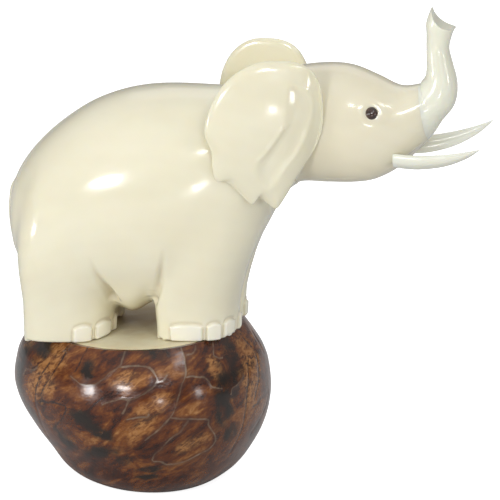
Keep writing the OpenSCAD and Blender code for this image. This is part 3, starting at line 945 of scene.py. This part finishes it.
def makeEar(name, side, node):
    bm = bmesh.new()
    addLoft(bm, [earRing(share, high) for share, high in smoothRows(ear["rings"], 3)])
    bmesh.ops.recalc_face_normals(bm, faces=bm.faces)
    places, normal = readPlaces(bm), readNormals(bm)
    across = np.column_stack([places[:, 0] - 0.9, places[:, 2]])
    outer = ease(-normal[:, 1], 0.2, 0.7)
    sunk = ear["hollowDepth"] * ease(insideDistance(across, smoothLoop(ear["hollow"], 4)), 0.6, -1.3)
    lip, lipAlong = lineDistance(across, smoothRows(ear["lip"], 4))
    fold, foldAlong = lineDistance(across, smoothRows(ear["fold"], 4))
    lipFade = ease(lipAlong, 0, 0.1) * ease(lipAlong, 1, 0.85)
    foldFade = ease(foldAlong, 0, 0.2) * ease(foldAlong, 1, 0.8)
    shift = -sunk + ear["lipRaise"] * (1 - ease(lip, 0.0, 0.6)) * lipFade
    shift += ear["foldRaise"] * (1 - ease(fold, 0.0, 0.7)) * foldFade
    shift -= ear["frontDrop"] * ease(across[:, 0], 26.2, 29.6)
    direction = np.array([ear["normal"][0], ear["normal"][1], 0])
    direction /= np.linalg.norm(direction)
    places = places + direction * (shift * outer)[:, None]
    if side > 0:
        pivot = np.array([ear["bendX"], 0, ear["hub"][1]])
        places = (places - pivot) * [leftEar["narrow"], -1, 1]
        cos, sin = math.cos(leftEar["turn"]), math.sin(leftEar["turn"])
        turned = np.column_stack([cos * places[:, 0] - sin * places[:, 2], places[:, 1],
                                  sin * places[:, 0] + cos * places[:, 2]])
        places = turned + pivot + np.array([leftEar["shift"][0], 0, leftEar["shift"][1]])
    writePlaces(bm, places)
    if side > 0:
        bmesh.ops.reverse_faces(bm, faces=bm.faces)
    return finishPiece(bm, name, ivory["ear"], node,
                       sharp=60, levels=1, recalc=False)


makeEar("earRight", -1, "ear_right")
makeEar("earLeft", 1, "ear_left")

tusk = {
    "line": [  # X, share of the way out, Z, half height
        (41.4, 0.03, 57.5, 1.35), (41.8, 0.05, 57.5, 1.5), (45.5, 0.2, 57.5, 1.5),
        (50.0, 0.45, 58.3, 1.3), (53.6, 0.72, 59.6, 0.8), (55.6, 0.93, 60.7, 0.3),
        (56.2, 1.0, 61.1, 0.08),
    ],
    "rootY": 5.1,
    "tipY": 9.4,
    "flat": 0.55,
    "lean": math.radians(30),
    "ridge": 0.2,
    "segments": 32,
}


def tuskRing(station, side):
    turn = 2 * math.pi * np.arange(tusk["segments"]) / tusk["segments"]
    half = station[3]
    up = half * power(np.sin(turn), 1.25) + tusk["ridge"] * half * np.abs(np.cos(turn))
    out = tusk["flat"] * half * power(np.cos(turn), 1.25)
    y = tusk["rootY"] + station[1] * (tusk["tipY"] - tusk["rootY"])
    y = y + out * math.cos(tusk["lean"]) + up * math.sin(tusk["lean"])
    z = station[2] + up * math.cos(tusk["lean"]) - out * math.sin(tusk["lean"])
    return np.column_stack([np.full(tusk["segments"], station[0]), side * y, z])


def makeTusk(name, side, node):
    bm = bmesh.new()
    addLoft(bm, [tuskRing(s, side) for s in smoothRows(tusk["line"], 6)])
    return finishPiece(bm, name, ivory["tusk"], node, sharp=55, levels=1)


makeTusk("tuskRight", -1, "tusk_right")
makeTusk("tuskLeft", 1, "tusk_left")

eye = {
    "axis": (0.22, 0.82, 0.52),
    "profile": [(0.0, 0.62), (0.35, 0.58), (0.68, 0.45), (0.95, 0.22), (1.1, -0.05), (1.15, -0.35),
                (1.12, -1.9), (0.0, -1.95)],
    "steps": 40,
}


def makeEye(name, side, node):
    bm = bmesh.new()
    outline = smoothRows(eye["profile"], 3)
    verts = [bm.verts.new((r, 0, z)) for r, z in outline]
    edges = [bm.edges.new(pair) for pair in zip(verts, verts[1:])]
    bmesh.ops.spin(bm, geom=verts + edges, cent=(0, 0, 0), axis=(0, 0, 1), angle=2 * math.pi,
                   steps=eye["steps"], use_merge=True)
    bmesh.ops.remove_doubles(bm, verts=bm.verts, dist=0.001)
    axis = Vector((eye["axis"][0], side * eye["axis"][1], eye["axis"][2])).normalized()
    turn = Vector((0, 0, 1)).rotation_difference(axis).to_matrix()
    bmesh.ops.rotate(bm, matrix=turn, verts=bm.verts)
    at = head["eye"]
    bmesh.ops.translate(bm, vec=(at[0], side * at[1], at[2]), verts=bm.verts)
    return finishPiece(bm, name, eyeMaterial(), node, sharp=50, levels=1)


def eyeMaterial():
    material = bpy.data.materials.get("eyeBead")
    if material:
        return material
    material, tree, shader, place = newMaterial("eyeBead")
    grain = addNode(tree, "ShaderNodeTexNoise", {"Vector": place, "Scale": 1600.0,
                                                 "Detail": 4.0}).outputs["Fac"]
    colour = addRamp(tree, grain, [(0.35, (0.020, 0.009, 0.006)), (0.6, (0.060, 0.026, 0.015)),
                                   (0.8, (0.150, 0.062, 0.035))])
    tree.links.new(colour, shader.inputs["Base Color"])
    tree.links.new(addRange(tree, grain, 0.3, 0.7, 0.18, 0.32), shader.inputs["Roughness"])
    height = addNode(tree, "ShaderNodeBump", {"Height": grain, "Strength": 0.1, "Distance": 0.0002})
    tree.links.new(height.outputs["Normal"], shader.inputs["Normal"])
    shader.inputs["Coat Weight"].default_value = 0.7
    shader.inputs["Coat Roughness"].default_value = 0.15
    return material


makeEye("eyeRight", -1, "eye_right")
makeEye("eyeLeft", 1, "eye_left")


# The hidden dowel, pin and pegs keep their own shapes and get turned birch.
def birchMaterial():
    material, tree, shader, place = newMaterial("birch")
    stretched = addNode(tree, "ShaderNodeMapping", {"Vector": place, "Scale": (0.15, 1.0, 1.0)})
    grain = addNode(tree, "ShaderNodeTexNoise", {"Vector": stretched.outputs[0], "Scale": 1800.0,
                                                 "Detail": 5.0, "Roughness": 0.6}).outputs["Fac"]
    colour = addRamp(tree, grain, [(0.3, (0.45, 0.28, 0.13)), (0.7, (0.68, 0.48, 0.26))])
    tree.links.new(colour, shader.inputs["Base Color"])
    tree.links.new(addRange(tree, grain, 0.3, 0.7, 0.5, 0.7), shader.inputs["Roughness"])
    return material


birch = birchMaterial()
for hidden in ("neck_dowel", "trunk_pin", "foot_pegs"):
    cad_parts[hidden].data.materials.clear()
    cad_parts[hidden].data.materials.append(birch)

# Floor and light
studio = {
    "floorSize": 6.0,
    "floorColour": (0.6, 0.6, 0.6),
    "skyLow": 0.18,
    "skyHigh": 0.74,
    "floorGlow": 0.9,
    "middle": (8, 0, 45),
    "lamps": [  # azimuth from the viewer's side, elevation, distance, width, height, power
        ("keyBox", -29, 16, 0.60, 0.13, 0.07, 0.95),
        ("leftBox", -64, 1, 0.60, 0.09, 0.07, 0.7),
        ("rightBox", 60, 6, 0.70, 0.10, 0.08, 0.32),
        ("topBox", 50, 46, 0.60, 0.14, 0.05, 0.2),
        ("frontBox", 15, 33, 0.70, 0.14, 0.045, 0.6),
        ("lowBox", 13, 0, 0.70, 0.05, 0.06, 0.25),
        ("backBox", 170, 42, 0.90, 0.70, 0.50, 0.5),
    ],
}


def makeStudio():
    bm = bmesh.new()
    bmesh.ops.create_grid(bm, x_segments=8, y_segments=8, size=studio["floorSize"] / 2)
    mesh = bpy.data.meshes.new("floor")
    bm.to_mesh(mesh)
    bm.free()
    paper = bpy.data.materials.new("floorPaper")
    paper.use_nodes = True
    shader = paper.node_tree.nodes["Principled BSDF"]
    shader.inputs["Base Color"].default_value = (*studio["floorColour"], 1)
    shader.inputs["Roughness"].default_value = 0.9
    shader.inputs["Emission Color"].default_value = (1, 1, 1, 1)
    seen = addNode(paper.node_tree, "ShaderNodeLightPath").outputs["Is Camera Ray"]
    glow = addMath(paper.node_tree, "MULTIPLY", seen, studio["floorGlow"])
    paper.node_tree.links.new(glow, shader.inputs["Emission Strength"])
    mesh.materials.append(paper)
    floor = bpy.data.objects.new("floor", mesh)
    bpy.context.scene.collection.objects.link(floor)
    world = bpy.data.worlds.new("studioSky")
    bpy.context.scene.world = world
    world.use_nodes = True
    sky = world.node_tree
    direction = addNode(sky, "ShaderNodeTexCoord").outputs["Generated"]
    height = addNode(sky, "ShaderNodeSeparateXYZ", {"Vector": direction}).outputs["Z"]
    strength = addRange(sky, height, 0.0, 0.9, studio["skyLow"], studio["skyHigh"])
    sky.links.new(strength, sky.nodes["Background"].inputs["Strength"])
    sky.nodes["Background"].inputs["Color"].default_value = (1, 1, 1, 1)
    middle = Vector(studio["middle"]) * metre
    for name, azimuth, elevation, distance, width, height, watts in studio["lamps"]:
        turn, rise = math.radians(azimuth + camera["azimuth"]), math.radians(elevation)
        away = Vector((math.sin(turn) * math.cos(rise), -math.cos(turn) * math.cos(rise), math.sin(rise)))
        data = bpy.data.lights.new(name, "AREA")
        data.shape = "RECTANGLE"
        data.size, data.size_y, data.energy = width, height, watts
        lamp = bpy.data.objects.new(name, data)
        bpy.context.scene.collection.objects.link(lamp)
        lamp.location = middle + distance * away
        lamp.rotation_mode = "QUATERNION"
        lamp.rotation_quaternion = away.to_track_quat("Z", "Y")
    bpy.context.scene.view_settings.view_transform = "Standard"


makeStudio()
print("floor and lights set")
